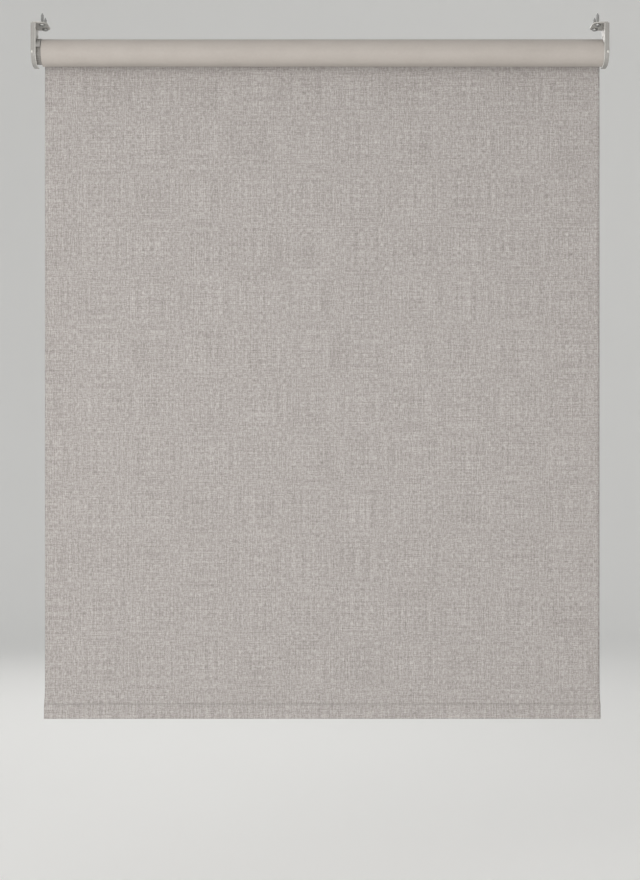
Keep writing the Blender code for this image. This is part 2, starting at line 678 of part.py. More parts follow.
def ratchet_pawl(dial):
    """Curved leaf in the dial's recess that clicks over the ratchet disc."""
    outline = band(PAWL_OUTER_R - PAWL_THICKNESS, PAWL_OUTER_R, 0, PAWL_SPAN, 10)
    low = TANG_OUT + CLEARANCE
    return to_object("ratchet_pawl", prism(outline, low, low + PAWL_WIDTH), spring_steel(), dial)


def spring_shaft(dial):
    """Steel shaft of the spring unit: square at the dial, grooved for its clip at the other end."""
    made = to_object("spring_shaft", rod(SHAFT_R, PLUG_LEFT, SHAFT_END), zinc_steel(), dial)
    half = SHAFT_SQUARE / 2
    fuse(made, block((DIAL_RECESS_FLOOR, -half, -half), (PLUG_LEFT + FREE_GAP, half, half)))
    cut(made, rod(PILOT_R + CLEARANCE, DIAL_RECESS_FLOOR - FREE_GAP, TANG_IN + PILOT_LENGTH + CLEARANCE))
    groove = sleeve(SHAFT_R + FREE_GAP, SHAFT_R - CLIP_SEAT, SHAFT_CLIP_LEFT - CLEARANCE,
                    SHAFT_CLIP_LEFT + CLIP_THICKNESS + CLEARANCE)
    cut(made, groove)
    return made


def retaining_clip(name, seat_radius, rim, low, thickness, parent):
    """C-shaped clip round a groove's floor."""
    inner = seat_radius + CLEARANCE
    outline = band(inner, inner + rim, CLIP_MOUTH / 2, math.tau - CLIP_MOUTH / 2, 20)
    return to_object(name, prism(outline, low, low + thickness), spring_steel(), parent)


def brake_hub(dial):
    """Drum of the friction brake, fixed on the shaft."""
    shape = sleeve(BRAKE_HUB_R, SHAFT_BORE_R, BRAKE_LEFT, BRAKE_LEFT + BRAKE_HUB_LENGTH)
    return to_object("brake_hub", shape, zinc_steel(), dial)


def brake_spring(roller):
    """Wrap spring on the drum. Its tail reaches out to a key of the tube."""
    radius = BRAKE_HUB_R + CLEARANCE + BRAKE_WIRE_R
    margin = BRAKE_WIRE_R + CLEARANCE
    points = coil(radius, BRAKE_LEFT + margin, BRAKE_LEFT + BRAKE_HUB_LENGTH - margin, BRAKE_TURNS)
    tail = TUBE_BORE_R - CLEARANCE - BRAKE_WIRE_R
    last_x, last_y, last_z = points[-1]
    points.append((last_x, last_y + (tail - radius) * 0.5, last_z + BRAKE_WIRE_R))
    points.append((last_x, tail, last_z + 2 * BRAKE_WIRE_R))
    return wire("brake_wrap_spring", points, BRAKE_WIRE_R, spring_steel(), roller, 1)


def spring_anchor(dial):
    """Fixed end of the torsion spring: a flange and a nose, fixed on the shaft."""
    nose_end = ANCHOR_FACE + NOSE_LENGTH
    profile = [(ANCHOR_LEFT, SHAFT_BORE_R), (ANCHOR_LEFT, ANCHOR_FLANGE_R), (ANCHOR_FACE, ANCHOR_FLANGE_R),
               (ANCHOR_FACE, NOSE_R), (nose_end, NOSE_R), (nose_end, SHAFT_BORE_R)]
    return to_object("spring_anchor", turned(profile, SMALL_STEPS, closed=True), white_nylon(), dial)


def torsion_spring(roller):
    """The lifting spring, round the shaft between the anchor and the drive plug."""
    margin = SPRING_WIRE_R + CLEARANCE
    radius = NOSE_R + 2 * CLEARANCE + SPRING_WIRE_R
    points = coil(radius, ANCHOR_FACE + margin, DRIVE_FACE - margin, SPRING_TURNS)
    return wire("torsion_spring", points, SPRING_WIRE_R, spring_steel(), roller, 1)


# ---------------------------------------------------------------- idle pin
def idle_pin(pin):
    """Sprung pin with a shoulder and a thin tail, grooved for its clip."""
    groove_left = PIN_CLIP_RIGHT - PIN_CLIP_THICKNESS - CLEARANCE
    groove_right = PIN_CLIP_RIGHT + CLEARANCE
    seat = PIN_TAIL_R - PIN_CLIP_SEAT
    profile = [(PIN_END, 0), (PIN_END, PIN_TAIL_R), (groove_left, PIN_TAIL_R), (groove_left, seat),
               (groove_right, seat), (groove_right, PIN_TAIL_R), (SHOULDER_LEFT, PIN_TAIL_R),
               (SHOULDER_LEFT, PIN_SHOULDER_R), (SHOULDER_RIGHT, PIN_SHOULDER_R), (SHOULDER_RIGHT, PIN_R),
               (PIN_TIP - PIN_CHAMFER, PIN_R), (PIN_TIP, PIN_R - PIN_CHAMFER), (PIN_TIP, 0)]
    return to_object("idle_pin", turned(profile, SMALL_STEPS), zinc_steel(), pin)


def idle_pin_spring(roller):
    """Compression spring round the pin's tail."""
    margin = PIN_SPRING_WIRE_R + CLEARANCE
    radius = (PIN_TAIL_R + CHAMBER_R) / 2
    points = coil(radius, CHAMBER_LEFT + margin, SHOULDER_LEFT - margin, PIN_SPRING_TURNS)
    return wire("idle_pin_spring", points, PIN_SPRING_WIRE_R, spring_steel(), roller, 1)


# ---------------------------------------------------------------- sheet, hem and bottom bar
def fabric_sheet(bar):
    """Hanging fabric, from the back of the roll down to the hem. The bar's empty is at the hem's top."""
    top = -AXIS_DROP - HEM_TOP
    low = (FABRIC_LEFT, SHEET_Y - HEM_Y, CLEARANCE)
    high = (FABRIC_RIGHT, SHEET_Y - HEM_Y + FABRIC_THICKNESS, top)
    return to_object("fabric_sheet", block(low, high), fabric_face(), bar)


def shifted(outline, z):
    return [(a, b + z) for a, b in outline]


def hem_pocket(bar):
    """Fabric sleeve round the bottom bar, open at both ends."""
    middle = -HEM_HEIGHT / 2
    outer = shifted(stadium(HEM_HEIGHT, HEM_THICKNESS), middle)
    left = FABRIC_OFFSET_X - HEM_HALF_LENGTH
    right = FABRIC_OFFSET_X + HEM_HALF_LENGTH
    made = to_object("hem_pocket", prism(outer, left, right), fabric_face(), bar)
    height = BAR_HEIGHT + 2 * CLEARANCE
    inner = shifted(stadium(height, BAR_THICKNESS + 2 * CLEARANCE), middle)
    cut(made, prism(inner, left - FREE_GAP, right + FREE_GAP))
    return made


def bottom_bar(bar):
    """Hollow steel bar that weights the fabric."""
    middle = -HEM_HEIGHT / 2
    outer = shifted(stadium(BAR_HEIGHT, BAR_THICKNESS), middle)
    left = FABRIC_OFFSET_X - BAR_HALF_LENGTH
    right = FABRIC_OFFSET_X + BAR_HALF_LENGTH
    made = to_object("bottom_bar", prism(outer, left, right), zinc_steel(), bar)
    inner = shifted(stadium(BAR_HEIGHT - 2 * BAR_WALL, BAR_THICKNESS - 2 * BAR_WALL), middle)
    cut(made, prism(inner, left - FREE_GAP, right + FREE_GAP))
    return made


def bottom_bar_cap(side, name, bar):
    """Plug in the bottom bar's end: a head as thick as the bar, and a flat peg inside it."""
    middle = -HEM_HEIGHT / 2
    face = BAR_HALF_LENGTH + CLEARANCE
    head = prism(shifted(stadium(BAR_HEIGHT, BAR_THICKNESS), middle), face, face + CAP_HEAD)
    made = to_object(name, mirror(head, side), grey_plastic(), bar, (FABRIC_OFFSET_X, 0, 0))
    peg_height = BAR_HEIGHT - 2 * (BAR_WALL + CLEARANCE)
    peg_thickness = BAR_THICKNESS - 2 * (BAR_WALL + CLEARANCE)
    peg = prism(shifted(stadium(peg_height, peg_thickness), middle), face - CAP_PEG, face + CAP_HEAD / 2)
    fuse(made, mirror(peg, side))
    return made


# ---------------------------------------------------------------- assembly
def clear_scene():
    for item in list(bpy.data.objects):
        bpy.data.objects.remove(item, do_unlink=True)


def build_brackets(root):
    for side, word in ((-1, "left"), (1, "right")):
        bracket(side, f"bracket_{word}", root)
        for y, place in zip(SCREW_Y, ("front", "back")):
            fixing_screw(f"fixing_screw_{word}_{place}", side * (HALF_WIDTH - SCREW_INSET), y, root)
    hooded_cover(root)
    bracket_cover(1, "bracket_cover_right", root)
    tang_socket(root)
    idle_bush(root)
    spring_tang(root)


def build_dial(dial):
    tension_dial(dial)
    ratchet_pawl(dial)
    spring_shaft(dial)
    brake_hub(dial)
    spring_anchor(dial)
    retaining_clip("spring_shaft_clip", SHAFT_R - CLIP_SEAT, CLIP_RIM, SHAFT_CLIP_LEFT, CLIP_THICKNESS, dial)


def build_roller(roller):
    roller_tube(roller)
    fixing_tape(roller)
    fabric_roll(roller)
    end_bearing(roller)
    brake_spring(roller)
    torsion_spring(roller)
    drive_plug(roller)
    idle_plug(roller)
    idle_pin_guide(roller)
    idle_pin_spring(roller)


def build_idle_pin(pin):
    idle_pin(pin)
    retaining_clip("idle_pin_clip", PIN_TAIL_R - PIN_CLIP_SEAT, PIN_CLIP_RIM,
                   PIN_CLIP_RIGHT - PIN_CLIP_THICKNESS, PIN_CLIP_THICKNESS, pin)


def build_bottom_bar(bar):
    fabric_sheet(bar)
    hem_pocket(bar)
    bottom_bar(bar)
    bottom_bar_cap(-1, "bottom_bar_cap_left", bar)
    bottom_bar_cap(1, "bottom_bar_cap_right", bar)


def main():
    clear_scene()
    root = empty("body_brackets", (0, 0, 0))
    dial = empty("body_tension_dial", (0, 0, -AXIS_DROP), root)
    roller = empty("body_roller", (0, 0, -AXIS_DROP), root)
    pin = empty("body_idle_pin", (0, 0, 0), roller)
    bar = empty("body_bottom_bar", (0, HEM_Y, HEM_TOP), root)
    build_brackets(root)
    build_dial(dial)
    build_roller(roller)
    build_idle_pin(pin)
    build_bottom_bar(bar)


main()
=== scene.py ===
"""Looks of the roller blind: wound and hanging fabric, hem, bracket trim, materials, light and camera."""
import json
import math

import bmesh
import bpy
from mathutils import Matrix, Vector


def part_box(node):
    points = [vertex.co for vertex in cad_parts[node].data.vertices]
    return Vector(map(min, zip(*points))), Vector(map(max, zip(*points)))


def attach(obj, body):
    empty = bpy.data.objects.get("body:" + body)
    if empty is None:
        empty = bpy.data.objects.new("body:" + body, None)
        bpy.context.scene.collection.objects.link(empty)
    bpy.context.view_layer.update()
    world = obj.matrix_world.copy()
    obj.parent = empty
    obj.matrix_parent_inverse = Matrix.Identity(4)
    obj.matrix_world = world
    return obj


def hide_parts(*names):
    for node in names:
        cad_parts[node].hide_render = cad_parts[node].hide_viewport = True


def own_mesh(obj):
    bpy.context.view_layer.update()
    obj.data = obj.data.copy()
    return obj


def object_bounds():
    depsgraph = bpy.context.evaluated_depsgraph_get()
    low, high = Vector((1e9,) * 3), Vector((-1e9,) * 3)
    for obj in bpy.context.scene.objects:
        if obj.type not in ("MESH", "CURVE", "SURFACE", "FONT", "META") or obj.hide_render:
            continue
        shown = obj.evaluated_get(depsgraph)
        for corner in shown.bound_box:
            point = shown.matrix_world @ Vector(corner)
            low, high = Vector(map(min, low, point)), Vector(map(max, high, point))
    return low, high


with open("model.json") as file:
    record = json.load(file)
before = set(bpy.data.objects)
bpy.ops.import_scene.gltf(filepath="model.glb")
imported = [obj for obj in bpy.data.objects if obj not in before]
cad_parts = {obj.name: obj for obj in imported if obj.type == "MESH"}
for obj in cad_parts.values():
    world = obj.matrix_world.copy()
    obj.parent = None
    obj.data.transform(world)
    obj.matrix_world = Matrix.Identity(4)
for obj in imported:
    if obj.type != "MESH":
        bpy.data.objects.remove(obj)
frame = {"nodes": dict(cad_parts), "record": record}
CAD_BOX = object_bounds()
MM = 0.001

# ---------------------------------------------------------------- places read from the frame
SHEET_LOW, SHEET_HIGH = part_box("fabric_sheet")
ROLL_LOW, ROLL_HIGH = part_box("fabric_roll")
HEM_LOW, HEM_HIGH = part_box("hem_pocket")
TUBE_LOW, TUBE_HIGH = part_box("roller_tube")
COVER_LOW, COVER_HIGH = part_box("bracket_cover_right")
BAR_LOW, BAR_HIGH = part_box("bottom_bar")
AXIS_Z = (ROLL_LOW.z + ROLL_HIGH.z) / 2
AXIS_Y = (ROLL_LOW.y + ROLL_HIGH.y) / 2
ROLL_R = (ROLL_HIGH.z - ROLL_LOW.z) / 2
TUBE_R = (TUBE_HIGH.y - TUBE_LOW.y) / 2

# ---------------------------------------------------------------- fabric
CLOTH_THICKNESS = 0.42 * MM
WRAPS = 5
WRAP_STEPS = 72             # facets in one wrap
WRAP_GAP = 0.03 * MM
ROLL_CLEARANCE = 0.05 * MM  # from the tube to the first wrap
TELESCOPE = 0.25 * MM       # how far the wraps' edges wander
TELESCOPE_RATE = 0.41       # swings of the wraps' edges for one turn
SHEET_COLUMNS = 190
SHEET_ROWS = 222
RIPPLE = 0.35 * MM          # depth of the sheet's faint waves
RIPPLE_MEAN = 1.5           # keeps every wave on the window side of the sheet's plane
RIPPLES = (                 # share of the depth, rate across, start, rate down
    (1.0, 4.1, 0.6, 0.0),
    (0.5, 9.7, -1.1, 1.3),
)
EDGE_FLATNESS = 14          # power that keeps the waves away from the sheet's side edges
FREE_HEIGHT = 0.12          # from the roll, and from the hem, until the waves are whole
FLARE_HEIGHT = 26 * MM      # the sheet widens to the hem over this height
THREAD = 0.62 * MM          # spacing of the threads
FACE_DARK = (0.182, 0.164, 0.155)
FACE_MIDDLE = (0.354, 0.330, 0.318)
FACE_PALE = (0.575, 0.552, 0.536)
FACE_FLECK = (0.56, 0.55, 0.53)
REVERSE_LOW = (0.382, 0.350, 0.322)
REVERSE_HIGH = (0.418, 0.385, 0.357)

# ---------------------------------------------------------------- hem
WELD_DROP = 0.7 * MM        # from the hem's top to the weld line
WELD_WIDTH = 1.0 * MM
WELD_DASH = 2.4 * MM
HEM_GAP = 0.1 * MM          # from the bar to the fabric
HEM_COLUMNS = 160
HEM_BEND_STEPS = 10
HEM_BEND_START = math.radians(38)   # the fabric meets the bar's upper round this far above its side
HEM_SLACK = 0.08 * MM       # faint unevenness of the fold
SLACK_ACROSS = 31           # rate of the unevenness over half the width
SLACK_UP = 220              # and for one metre up
HEM_STRETCH = 0.9           # thickness of the stretched fold, as a share of the fabric's
HEM_JOINT = 0.1 * MM        # from the sheet's edge to the hem's
HEM_LEAN = 0.8 * MM         # how far the sheet comes forward to the weld
LEAN_HEIGHT = 60 * MM       # the height over which it does so

# ---------------------------------------------------------------- bracket trim
BEAD_R = 0.7 * MM
BEAD_STEPS = 16             # facets of the bead's corner
BEAD_CLEARANCE = 0.6 * MM   # the bead's corner is this much larger than the roll
BEAD_TAIL = 6 * MM          # straight length along the cover's bottom
CATCH_SIZE = (1.3 * MM, 0.8 * MM, 2.0 * MM)     # half sizes
CATCH_INSET = 1.9 * MM      # from the cover's outer end
CATCH_SINK = 0.1 * MM       # the catch's centre lies behind the cover's front
CATCH_DROP = 2.3 * MM       # below the roller's axis


# ---------------------------------------------------------------- node helpers
class Graph:
    """A short way to write one material's nodes."""

    def __init__(self, name):
        self.material = bpy.data.materials.new(name)
        self.material.use_nodes = True
        self.tree = self.material.node_tree
        self.shader = self.tree.nodes["Principled BSDF"]
        place = self.tree.nodes.new("ShaderNodeTexCoord")
        self.place = place.outputs["Object"]
        apart = self.tree.nodes.new("ShaderNodeSeparateXYZ")
        self.tree.links.new(self.place, apart.inputs[0])
        self.x, self.y, self.z = apart.outputs

    def link(self, value, socket):
        """Wire a node's output to a socket, or set the socket to a plain value."""
        if hasattr(value, "is_output"):
            self.tree.links.new(value, socket)
        else:
            socket.default_value = value

    def math(self, operation, first, second=0.0, third=0.0):
        """One arithmetic step on node outputs or plain numbers."""
        node = self.tree.nodes.new("ShaderNodeMath")
        node.operation = operation
        for value, socket in zip((first, second, third), node.inputs):
            self.link(value, socket)
        return node.outputs[0]

    def scaled(self, scale):
        """The place in metres times a scale for each axis."""
        node = self.tree.nodes.new("ShaderNodeMapping")
        self.tree.links.new(self.place, node.inputs["Vector"])
        node.inputs["Scale"].default_value = scale
        return node.outputs[0]

    def noise(self, scale, detail=2.0, roughness=0.5, seed=0.0):
        """Smooth noise from about 0 to 1, with its own scale along each axis."""
        node = self.tree.nodes.new("ShaderNodeTexNoise")
        node.noise_dimensions = "4D"
        self.tree.links.new(self.scaled(scale), node.inputs["Vector"])
        node.inputs["Scale"].default_value = 1.0
        node.inputs["W"].default_value = seed
        node.inputs["Detail"].default_value = detail
        node.inputs["Roughness"].default_value = roughness
        return node.outputs["Fac"]

    def flat_noise(self, across, up, seed):
        """Noise in the fabric's plane, with this many cells in a metre across and up."""
        place = self.tree.nodes.new("ShaderNodeCombineXYZ")
        self.link(self.math("MULTIPLY_ADD", self.x, across, seed * 17), place.inputs[0])
        self.link(self.math("MULTIPLY_ADD", self.z, up, seed * 29), place.inputs[1])
        node = self.tree.nodes.new("ShaderNodeTexNoise")
        node.noise_dimensions = "2D"
        self.tree.links.new(place.outputs[0], node.inputs["Vector"])
        node.inputs["Scale"].default_value = 1.0
        node.inputs["Detail"].default_value = 0.0
        return node.outputs["Fac"]

    def ramp(self, value, *stops):
        """A colour for each (place, colour) stop."""
        node = self.tree.nodes.new("ShaderNodeValToRGB")
        self.tree.links.new(value, node.inputs[0])
        elements = node.color_ramp.elements
        while len(elements) < len(stops):
            elements.new(0.5)
        for element, (place, color) in zip(elements, stops):
            element.position = place
            element.color = (*color, 1.0)
        return node.outputs[0]

    def mix(self, share, first, second):
        """Blend two colours: share 0 gives the first, 1 the second."""
        node = self.tree.nodes.new("ShaderNodeMix")
        node.data_type = "RGBA"
        self.link(share, node.inputs[0])
        for value, socket in ((first, node.inputs[6]), (second, node.inputs[7])):
            self.link((*value, 1.0) if isinstance(value, tuple) else value, socket)
        return node.outputs[2]

    def bump(self, height, distance, strength):
        """Shade the surface as uneven: a height of 1 stands for this distance."""
        node = self.tree.nodes.new("ShaderNodeBump")
        self.tree.links.new(height, node.inputs["Height"])
        node.inputs["Distance"].default_value = distance
        node.inputs["Strength"].default_value = strength
        self.tree.links.new(node.outputs[0], self.shader.inputs["Normal"])

    def set(self, **values):
        """Set the shader's own sockets."""
        names = {"color": "Base Color", "roughness": "Roughness", "metallic": "Metallic",
                 "sheen": "Sheen Weight", "sheen_roughness": "Sheen Roughness",
                 "specular": "Specular IOR Level"}
        for key, value in values.items():
            socket = self.shader.inputs[names[key]]
            self.link((*value, 1.0) if isinstance(value, tuple) else value, socket)


def spread(graph, value, low, high):
    """Stretch a value so that low becomes 0 and high becomes 1, clamped."""
    node = graph.tree.nodes.new("ShaderNodeMapRange")
    graph.tree.links.new(value, node.inputs[0])
    node.inputs[1].default_value = low
    node.inputs[2].default_value = high
    return node.outputs[0]


# ---------------------------------------------------------------- fabric materials
def weave_height(graph):
    """Height of a plain weave, and 1 where the warp thread is on top, 0 where the weft is."""
    u = graph.math("DIVIDE", graph.x, THREAD)
    v = graph.math("DIVIDE", graph.z, THREAD)
    step_u = graph.math("FLOOR", u)
    step_v = graph.math("FLOOR", v)
    odd = graph.math("PINGPONG", graph.math("ADD", step_u, step_v), 1.0)
    round_u = graph.math("ABSOLUTE", graph.math("SINE", graph.math("MULTIPLY", u, math.pi)))
    round_v = graph.math("ABSOLUTE", graph.math("SINE", graph.math("MULTIPLY", v, math.pi)))
    warp = graph.math("MULTIPLY", round_u, odd)
    weft = graph.math("MULTIPLY", round_v, graph.math("SUBTRACT", 1.0, odd))
    return graph.math("ADD", warp, weft), odd


def linen_face(name="linen_face", welded=False):
    """Melange linen-look weave: pale and dark threads with short slubs both ways."""
    graph = Graph(name)
    height, odd = weave_height(graph)
    parts = (
        (graph.flat_noise(760, 14, 2.3), 0.27),         # whole warp threads
        (graph.flat_noise(14, 760, 6.1), 0.22),         # whole weft threads
        (graph.flat_noise(740, 150, 3.1), 0.38),        # upright slubs
        (graph.flat_noise(150, 740, 7.7), 0.32),        # level slubs
        (graph.flat_noise(360, 360, 1.3), 0.09),        # grain of the yarn
        (graph.flat_noise(760, 760, 5.9), 0.38),        # crossings of single threads
        (graph.flat_noise(28, 20, 5.0), 0.03),          # faint clouds
    )
    tone = 0.5
    for value, weight in (*parts, (odd, 0.05)):
        tone = graph.math("MULTIPLY_ADD", graph.math("SUBTRACT", value, 0.5), weight, tone)
    color = graph.ramp(tone, (0.0, FACE_DARK), (0.5, FACE_MIDDLE), (1.0, FACE_PALE))
    fleck = graph.ramp(graph.flat_noise(520, 170, 9.4), (0.70, (0, 0, 0)), (0.80, (1, 1, 1)))
    color = graph.mix(graph.math("MULTIPLY", fleck, 0.25), color, FACE_FLECK)
    lift = graph.math("ADD", height, graph.math("MULTIPLY", tone, 1.2))
    if welded:
        from_line = graph.math("ABSOLUTE", graph.math("SUBTRACT", graph.z, HEM_HIGH.z - WELD_DROP))
        in_line = spread(graph, from_line, WELD_WIDTH / 2, WELD_WIDTH / 4)
        along = graph.math("PINGPONG", graph.x, WELD_DASH)
        dash = spread(graph, along, WELD_DASH * 0.25, WELD_DASH * 0.4)
        press = graph.math("MULTIPLY", in_line, dash)
        color = graph.mix(graph.math("MULTIPLY", press, 0.06), color, FACE_DARK)
        lift = graph.math("SUBTRACT", lift, graph.math("MULTIPLY", press, 0.3))
    graph.set(color=color, roughness=0.92, sheen=0.12, sheen_roughness=0.5, specular=0.2)
    graph.bump(lift, 0.10 * MM, 0.7)
    return graph.material


def linen_reverse():
    """Smooth coated back, with the weave just showing through."""
    graph = Graph("linen_reverse")
    height, _ = weave_height(graph)
    cloud = graph.noise((26, 40, 26), 3.0, 0.55, 2.0)
    fleck = graph.noise((260, 300, 340), 2.0, 0.6, 4.0)
    tone = graph.math("ADD", graph.math("MULTIPLY", cloud, 0.6), graph.math("MULTIPLY", fleck, 0.4))
    color = graph.ramp(spread(graph, tone, 0.3, 0.7), (0.0, REVERSE_LOW), (1.0, REVERSE_HIGH))
    graph.set(color=color, roughness=0.62, sheen=0.05, specular=0.3)
    graph.bump(graph.math("ADD", graph.math("MULTIPLY", height, 0.35), fleck), 0.05 * MM, 0.35)
    return graph.material


def cut_edge():
    """Heat-cut edge of the fabric: pale, slightly glazed threads."""
    graph = Graph("cut_edge")
    fleck = graph.noise((900, 900, 1600), 2.0, 0.6, 6.0)
    color = graph.ramp(fleck, (0.3, (0.42, 0.39, 0.36)), (0.7, (0.58, 0.55, 0.51)))
    graph.set(color=color, roughness=0.7, specular=0.3)
    graph.bump(fleck, 0.08 * MM, 0.6)
    return graph.material


# ---------------------------------------------------------------- hard materials
def moulded(name, low, high, roughness, grain=0.03 * MM, scale=900):
    """Satin moulded plastic: fine spark-eroded grain and a faint cloudiness."""
    graph = Graph(name)
    fine = graph.noise((scale, scale, scale), 3.0, 0.6, 1.0)
    cloud = graph.noise((45, 45, 45), 2.0, 0.5, 8.0)
    color = graph.ramp(spread(graph, cloud, 0.3, 0.7), (0.0, low), (1.0, high))
    graph.set(color=color, roughness=graph.math("MULTIPLY_ADD", fine, 0.12, roughness - 0.05), specular=0.45)
    graph.bump(fine, grain, 0.5)
    return graph.material


def powder_coat():
    """Light grey powder coat with a fine orange peel."""
    graph = Graph("powder_coat")
    peel = graph.noise((420, 420, 420), 2.0, 0.5, 2.0)
    cloud = graph.noise((35, 35, 35), 2.0, 0.5, 3.0)
    low, high = (0.40, 0.388, 0.365), (0.46, 0.448, 0.425)
    color = graph.ramp(spread(graph, cloud, 0.3, 0.7), (0.0, low), (1.0, high))
    graph.set(color=color, roughness=graph.math("MULTIPLY_ADD", peel, 0.16, 0.34), specular=0.5)
    graph.bump(peel, 0.05 * MM, 0.5)
    return graph.material


def bright_zinc():
    """Zinc plate: cloudy passivation, fine turning marks."""
    graph = Graph("bright_zinc")
    cloud = graph.noise((260, 260, 260), 3.0, 0.6, 4.0)
    marks = graph.noise((3000, 240, 240), 2.0, 0.6, 5.0)
    low, high = (0.30, 0.305, 0.31), (0.46, 0.46, 0.445)
    color = graph.ramp(spread(graph, cloud, 0.3, 0.7), (0.0, low), (1.0, high))
    graph.set(color=color, metallic=1.0, roughness=graph.math("MULTIPLY_ADD", cloud, 0.22, 0.36))
    graph.bump(marks, 0.01 * MM, 0.4)
    return graph.material


def spring_wire():
    """Oiled, drawn spring steel."""
    graph = Graph("spring_wire")
    cloud = graph.noise((300, 300, 300), 3.0, 0.6, 6.0)
    low, high = (0.24, 0.24, 0.25), (0.38, 0.375, 0.37)
    color = graph.ramp(spread(graph, cloud, 0.3, 0.7), (0.0, low), (1.0, high))
    graph.set(color=color, metallic=1.0, roughness=graph.math("MULTIPLY_ADD", cloud, 0.2, 0.26))
    graph.bump(cloud, 0.01 * MM, 0.3)
    return graph.material


def mill_aluminium():
    """Extruded tube: long die lines along X."""
    graph = Graph("mill_aluminium")
    lines = graph.noise((6, 2600, 2600), 2.0, 0.6, 7.0)
    cloud = graph.noise((20, 120, 120), 2.0, 0.5, 8.0)
    low, high = (0.66, 0.665, 0.67), (0.80, 0.80, 0.80)
    color = graph.ramp(spread(graph, lines, 0.3, 0.7), (0.0, low), (1.0, high))
    graph.set(color=color, metallic=1.0, roughness=graph.math("MULTIPLY_ADD", cloud, 0.18, 0.28))
    graph.bump(lines, 0.01 * MM, 0.5)
    return graph.material


def tape():
    """Double-sided tape, slightly yellow, with air marks."""
    graph = Graph("tape")
    marks = graph.noise((180, 300, 300), 3.0, 0.6, 9.0)
    color = graph.ramp(marks, (0.35, (0.62, 0.57, 0.42)), (0.7, (0.74, 0.70, 0.58)))
    graph.set(color=color, roughness=graph.math("MULTIPLY_ADD", marks, 0.3, 0.3), specular=0.5)
    graph.bump(marks, 0.03 * MM, 0.4)
    return graph.material


def crisp(mesh, angle=math.radians(32)):
    """Shade a mesh smooth where it is round and crisp at its edges."""
    stored = mesh.attributes.get("custom_normal")
    if stored:
        mesh.attributes.remove(stored)
    mesh.shade_smooth()
    mesh.set_sharp_from_angle(angle=angle)


def dress_cad_nodes():
    """Give every CAD node that stays its finished material, by the record's slots."""
    finishes = {
        "painted_steel": powder_coat(),
        "cover_plastic": moulded("cover_plastic_satin", (0.275, 0.268, 0.254), (0.315, 0.307, 0.292), 0.45),
        "grey_plastic": moulded("grey_plastic_satin", (0.205, 0.195, 0.18), (0.245, 0.235, 0.22), 0.5),
        "white_nylon": moulded("natural_nylon", (0.60, 0.59, 0.55), (0.68, 0.67, 0.63), 0.45, scale=500),
        "zinc_steel": bright_zinc(),
        "spring_steel": spring_wire(),
        "tube_aluminium": mill_aluminium(),
        "fixing_tape": tape(),
    }
    for part in frame["record"]["subparts"]:
        finish = finishes.get(part["material_slot"])
        if finish is None:
            continue
        mesh = frame["nodes"][part["node"]].data
        mesh.materials.clear()
        mesh.materials.append(finish)
        crisp(mesh)


def press_pin_spring():
    """Give the idle pin's spring a mesh of its own."""
    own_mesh(frame["nodes"]["idle_pin_spring"])


# ---------------------------------------------------------------- mesh helpers
def new_piece(name, vertices, faces, *finishes, smooth_angle=math.radians(50)):
    """A mesh piece from points and faces, shaded smooth where it is round."""
    mesh = bpy.data.meshes.new(name)
    mesh.from_pydata([tuple(v) for v in vertices], [], faces)
    for finish in finishes:
        mesh.materials.append(finish)
    mesh.validate()
    mesh.shade_smooth()
    mesh.set_sharp_from_angle(angle=smooth_angle)
    piece = bpy.data.objects.new(name, mesh)
    bpy.context.scene.collection.objects.link(piece)
    return piece


def thicken(piece, thickness):
    """Give a fabric surface its thickness, on the side that its faces turn away from."""
    thick = piece.modifiers.new("thickness", "SOLIDIFY")
    thick.thickness = thickness
    thick.offset = -1.0
    thick.material_offset = 1
    thick.material_offset_rim = 2


def edge_shape(height_above_hem):
    """How far the sheet's edge stands out beyond its plain width, by height above the hem."""
    flare = (HEM_HIGH.x - HEM_LOW.x - SHEET_HIGH.x + SHEET_LOW.x) / 2
    share = max(0.0, 1.0 - height_above_hem / FLARE_HEIGHT)
    return flare * share ** 2


# ---------------------------------------------------------------- the wound fabric
def wound_fabric(reverse, face, edge):
    """A spiral of fabric on the tube. Its outer end leaves at the back, where the sheet hangs."""
    inner = TUBE_R + ROLL_CLEARANCE + CLOTH_THICKNESS
    pitch = (ROLL_R - inner) / WRAPS
    thickness = min(CLOTH_THICKNESS, pitch - WRAP_GAP)
    steps = WRAPS * WRAP_STEPS
    vertices = []
    for i in range(steps + 1):
        angle = math.tau * WRAPS * i / steps
        outer = ROLL_R - pitch * angle / math.tau
        wander = TELESCOPE * math.sin(angle * TELESCOPE_RATE) * min(1.0, angle / math.pi)
        for radius in (outer, outer - thickness):
            y = AXIS_Y + radius * math.cos(angle)
            z = AXIS_Z + radius * math.sin(angle)
            vertices += [(ROLL_LOW.x + abs(wander), y, z), (ROLL_HIGH.x + wander - TELESCOPE, y, z)]
    faces = [(0, 1, 3, 2)]
    for i in range(steps):
        a, b = 4 * i, 4 * (i + 1)
        faces += [
            (a, b, b + 1, a + 1),               # outside
            (a + 2, a + 3, b + 3, b + 2),       # inside
            (a, a + 2, b + 2, b),               # left edge
            (a + 1, b + 1, b + 3, a + 3),       # right edge
        ]
    last = 4 * steps
    faces.append((last, last + 2, last + 3, last + 1))
    piece = new_piece("wound_fabric", vertices, faces, reverse, face, edge)
    finish_of_side = (0, 1, 2, 2)       # reverse outside, face inside, and the two cut edges
    for polygon in piece.data.polygons:
        polygon.material_index = finish_of_side[(polygon.index - 1) % 4]
    tidy_normals(piece)
    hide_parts("fabric_roll")
    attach(piece, "roller")
    return piece


def tidy_normals(piece):
    """Turn every face outward."""
    shape = bmesh.new()
    shape.from_mesh(piece.data)
    bmesh.ops.recalc_face_normals(shape, faces=shape.faces)
    shape.to_mesh(piece.data)
    shape.free()


